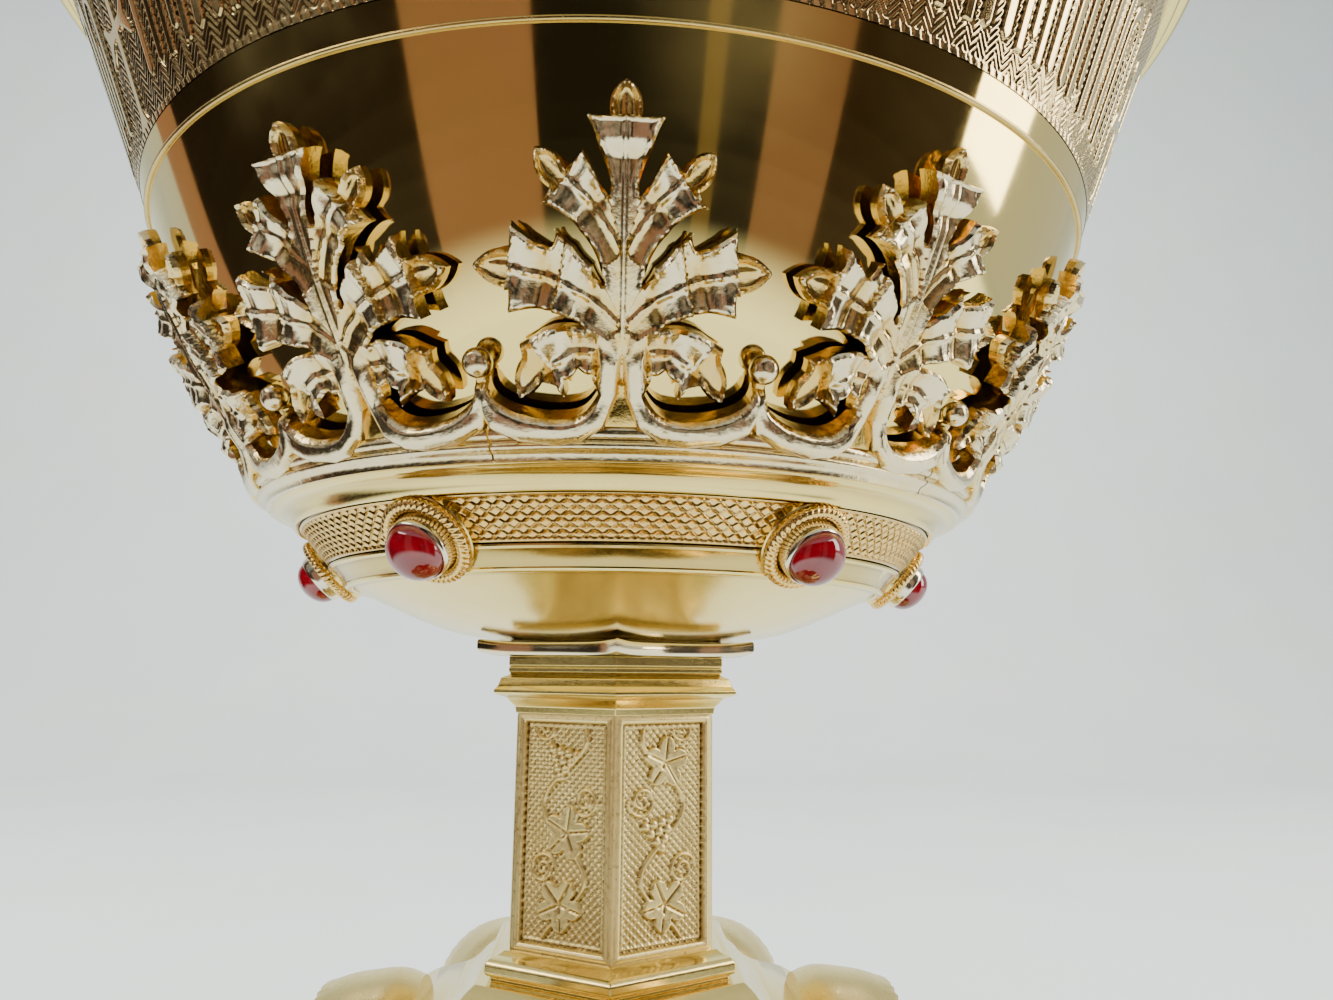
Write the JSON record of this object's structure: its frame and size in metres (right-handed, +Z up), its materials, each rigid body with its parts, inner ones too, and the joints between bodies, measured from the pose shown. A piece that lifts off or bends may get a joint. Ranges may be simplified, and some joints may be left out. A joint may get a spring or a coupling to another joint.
{
  "type": "ciborium",
  "caption": "Covered silver-gilt altar vessel: deep round bowl in a leaf-crested, jewelled calyx on a six-sided stem with a bossed knop, lobed foot and domed lid with a cross.",
  "frame": {"origin": "centre of the foot on the surface that it stands on", "axes": "+Z up along the vessel's axis, -Y towards the front, where a corner of the stem and the cross's stone face"},
  "size_m": [0.15, 0.1386, 0.2942],
  "materials": {
    "polished_gilt": "mirror-polished gilding on silver",
    "satin_gilt": "polished pale gilding, lightly worn",
    "cast_parcel_gilt": "cast silver with rubbed gilding",
    "chased_gilt": "chased and matted gilding",
    "rod_brass": "turned brass, unpolished",
    "garnet": "polished red cabochon stone"
  },
  "bodies": {
    "root": {"bowl": "polished_gilt", "bowl_wire": "satin_gilt", "rod_boss": "rod_brass", "calyx_cup": "satin_gilt", "trellis_strip": "chased_gilt", "calyx_segment_1": "cast_parcel_gilt", "calyx_segment_2": "cast_parcel_gilt", "calyx_segment_3": "cast_parcel_gilt", "calyx_segment_4": "cast_parcel_gilt", "calyx_segment_5": "cast_parcel_gilt", "calyx_segment_6": "cast_parcel_gilt", "rope_ring_1": "chased_gilt", "rope_ring_2": "chased_gilt", "rope_ring_3": "chased_gilt", "rope_ring_4": "chased_gilt", "rope_ring_5": "chased_gilt", "rope_ring_6": "chased_gilt", "bezel_1": "satin_gilt", "bezel_2": "satin_gilt", "bezel_3": "satin_gilt", "bezel_4": "satin_gilt", "bezel_5": "satin_gilt", "bezel_6": "satin_gilt", "cabochon_1": "garnet", "cabochon_2": "garnet", "cabochon_3": "garnet", "cabochon_4": "garnet", "cabochon_5": "garnet", "cabochon_6": "garnet", "bowl_plate": "satin_gilt", "concave_collar": "satin_gilt", "neck_moulding": "satin_gilt", "upper_stem": "chased_gilt", "upper_stem_foot": "satin_gilt", "knop_upper": "satin_gilt", "knop_lower": "satin_gilt", "knop_boss_1": "satin_gilt", "knop_boss_2": "satin_gilt", "knop_boss_3": "satin_gilt", "knop_boss_4": "satin_gilt", "knop_boss_5": "satin_gilt", "knop_boss_6": "satin_gilt", "lower_stem_head": "satin_gilt", "lower_stem": "chased_gilt", "lower_stem_foot": "satin_gilt", "foot": "satin_gilt", "foot_flange": "satin_gilt", "tie_rod": "rod_brass", "clamp_washer": "rod_brass", "tie_nut": "rod_brass"},
    "lid": {"lid_dome": "polished_gilt", "lid_bezel": "polished_gilt", "finial_collar": "satin_gilt", "finial_knop": "satin_gilt", "finial_stud": "rod_brass", "finial_nut": "rod_brass", "cross": "satin_gilt", "cross_stone": "garnet"}
  },
  "joints": [
    {"name": "lid_lift", "type": "slide", "parent": "root", "child": "lid", "axis": [0, 0, 1], "range_m": [0, 0.11]}
  ]
}
